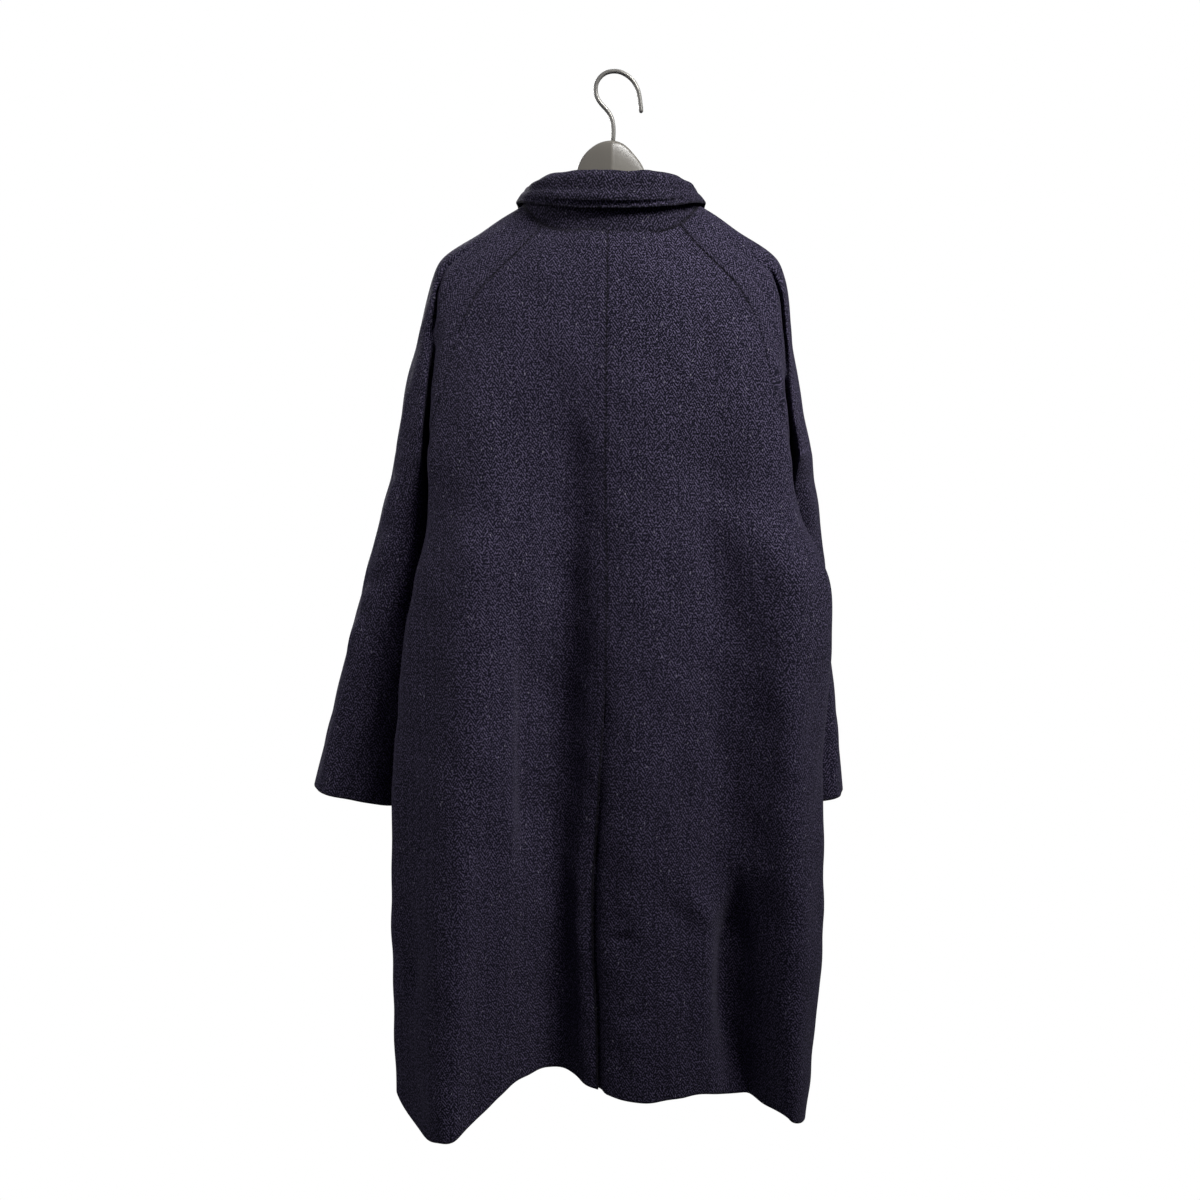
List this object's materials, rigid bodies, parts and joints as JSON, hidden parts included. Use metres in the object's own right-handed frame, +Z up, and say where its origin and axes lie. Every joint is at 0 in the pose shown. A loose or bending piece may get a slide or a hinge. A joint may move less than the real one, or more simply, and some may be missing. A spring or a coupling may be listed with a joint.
{
  "type": "tweed coat on a hanger",
  "caption": "Long raglan-sleeved tweed overcoat with a turned-down collar, buttoned front and open back vent, hanging on a moulded hanger with a wire hook.",
  "frame": {"origin": "inside top of the hanger's hook, where it bears on a rod", "axes": "+Z up, +Y out of the coat's back, +X towards the wearer's left"},
  "size_m": [0.662, 0.2718, 1.2444],
  "materials": {
    "tweed": "woollen herringbone weave with a short nap",
    "horn": "dark polished horn",
    "plastic": "moulded grey plastic, semi-gloss",
    "steel": "polished wire"
  },
  "bodies": {
    "root": {"back_left": "tweed", "back_right": "tweed", "front_left": "tweed", "front_right": "tweed", "sleeve_left": "tweed", "sleeve_right": "tweed", "collar": "tweed", "button_1": "horn", "button_2": "horn", "button_3": "horn", "button_4": "horn", "hanger_body": "plastic", "hanger_hook": "steel"}
  },
  "joints": []
}
